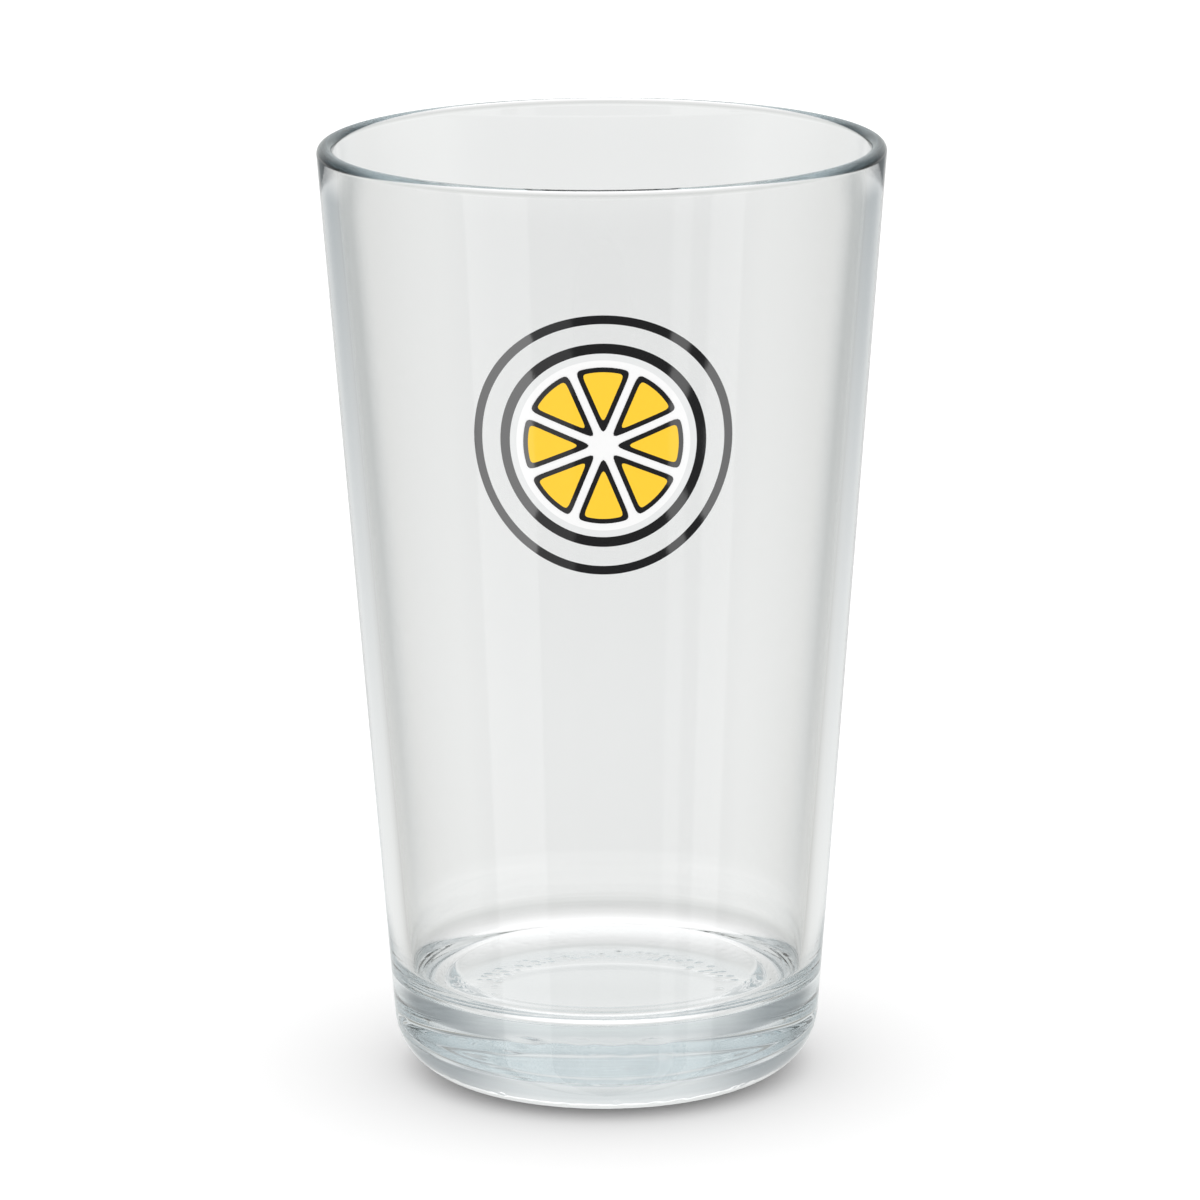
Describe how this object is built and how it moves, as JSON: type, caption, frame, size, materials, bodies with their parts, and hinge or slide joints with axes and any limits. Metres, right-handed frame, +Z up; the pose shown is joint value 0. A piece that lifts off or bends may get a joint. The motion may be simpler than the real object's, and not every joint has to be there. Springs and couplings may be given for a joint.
{
  "type": "pint glass",
  "caption": "Conical drinking glass with a rounded rim, thick base and rounded heel, printed with a plain citrus roundel on one side.",
  "frame": {"origin": "centre of the base, on the plane the glass stands on", "axes": "+Z up along the glass's axis, towards the rim; the printed roundel faces -Y"},
  "size_m": [0.0892, 0.0892, 0.15],
  "materials": {
    "clear_glass": "fire-polished, clear soda-lime glass",
    "white_ink": "fired ceramic ink, glossy",
    "grey_ink": "fired ceramic ink, glossy",
    "black_ink": "fired ceramic ink, glossy",
    "yellow_ink": "fired ceramic ink, glossy"
  },
  "bodies": {
    "root": {"glass_tumbler": "clear_glass", "print_white_base": "white_ink", "print_grey_shade": "grey_ink", "print_black_lines": "black_ink", "print_yellow_fill": "yellow_ink"}
  },
  "joints": []
}
